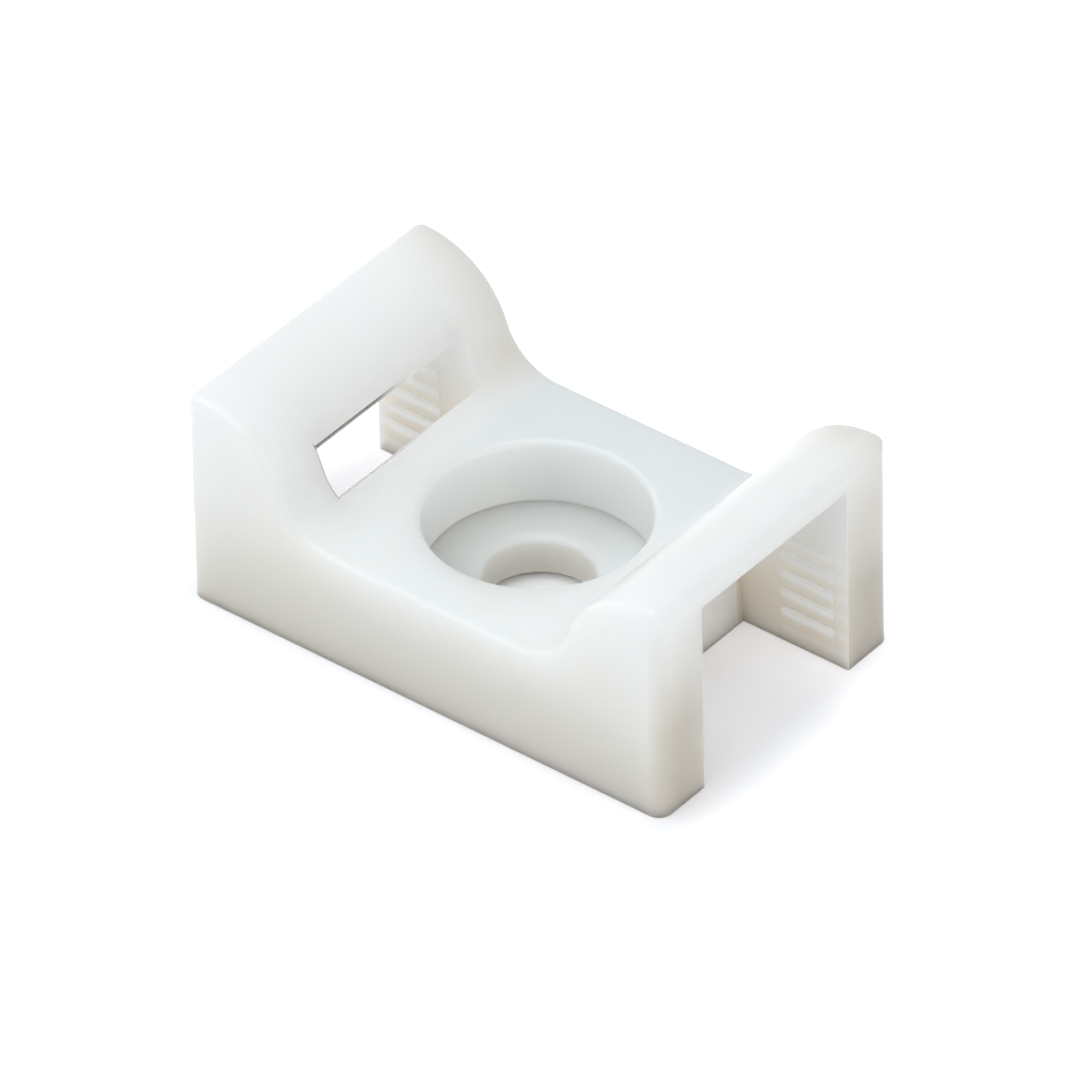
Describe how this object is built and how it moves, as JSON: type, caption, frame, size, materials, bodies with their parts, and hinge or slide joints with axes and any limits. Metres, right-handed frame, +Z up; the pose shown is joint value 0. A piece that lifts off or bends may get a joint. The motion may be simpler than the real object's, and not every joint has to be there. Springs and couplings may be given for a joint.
{
  "type": "cable tie mount",
  "caption": "Moulded saddle base for a cable tie: a strap passage under each raised ear, and a counterbored screw hole between them.",
  "frame": {"origin": "on the screw hole's axis, in the plane the mount stands on", "axes": "+X along the mount from ear to ear, +Y across it, +Z up from the base"},
  "size_m": [0.0158, 0.0098, 0.0066],
  "materials": {
    "nylon": "natural nylon, slightly see-through, satin"
  },
  "bodies": {
    "root": {"tie_mount": "nylon"}
  },
  "joints": []
}
